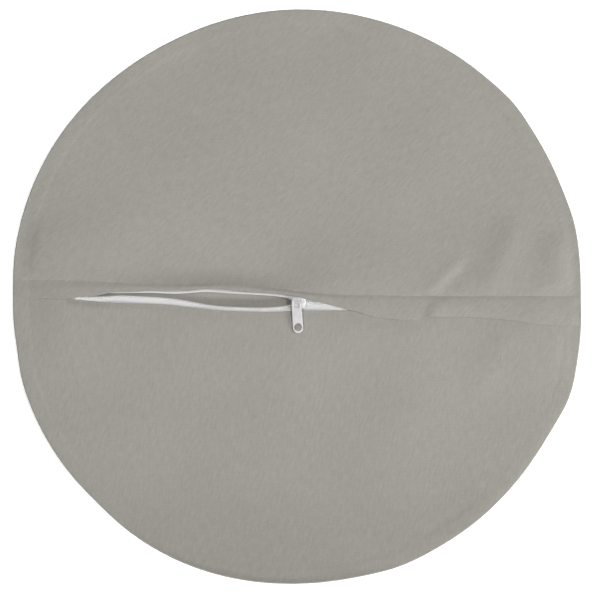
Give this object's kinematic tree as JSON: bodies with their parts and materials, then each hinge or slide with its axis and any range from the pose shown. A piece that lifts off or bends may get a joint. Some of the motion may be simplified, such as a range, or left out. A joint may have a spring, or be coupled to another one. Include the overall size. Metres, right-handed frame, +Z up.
{
  "type": "round zipped cushion cover",
  "caption": "Empty round cushion cover in grey woven cloth, lying flat with its lapped white coil zip part open and a sliding pull tab.",
  "frame": {"origin": "centre of the cover's outline, on the underside of the front panel, which lies on the floor", "axes": "+Z up, out of the zipped back; +X along the zip towards its closed end; +Y towards the half of the back that carries the lap"},
  "size_m": [0.3966, 0.4005, 0.0114],
  "materials": {
    "cover_cloth": "plain woven, matt",
    "zip_tape": "close woven tape, matt",
    "zip_coil": "drawn nylon, satin",
    "slider_paint": "white enamel, satin",
    "sewing_thread": "spun thread, matt"
  },
  "bodies": {
    "cover": {"front_panel": "cover_cloth", "back_upper_panel": "cover_cloth", "back_lower_panel": "cover_cloth", "lap_flap": "cover_cloth", "zip_tape_upper": "zip_tape", "zip_tape_lower": "zip_tape", "zip_coil_upper": "zip_coil", "zip_coil_lower": "zip_coil", "zip_end_tack_left": "sewing_thread", "zip_end_tack_right": "sewing_thread", "rim_seam_thread": "sewing_thread", "lap_stitch_thread": "sewing_thread", "lower_stitch_thread": "sewing_thread", "end_seam_thread_left": "sewing_thread", "end_seam_thread_right": "sewing_thread"},
    "slider": {"slider_body": "slider_paint"},
    "tab": {"pull_tab": "slider_paint"}
  },
  "joints": [
    {"name": "slider_travel", "type": "slide", "parent": "cover", "child": "slider", "axis": [0.9995, -0.03, 0], "range_m": [-0.148, 0.1455], "deforming": ["lap_flap", "zip_tape_upper", "zip_tape_lower", "zip_coil_upper", "zip_coil_lower"]},
    {"name": "pull_tab_swing", "type": "hinge", "parent": "slider", "child": "tab", "pos_m": [-0.0005, -0.00428, 0.0098], "axis": [0, 0, 1], "range_deg": [-180, 30]}
  ]
}
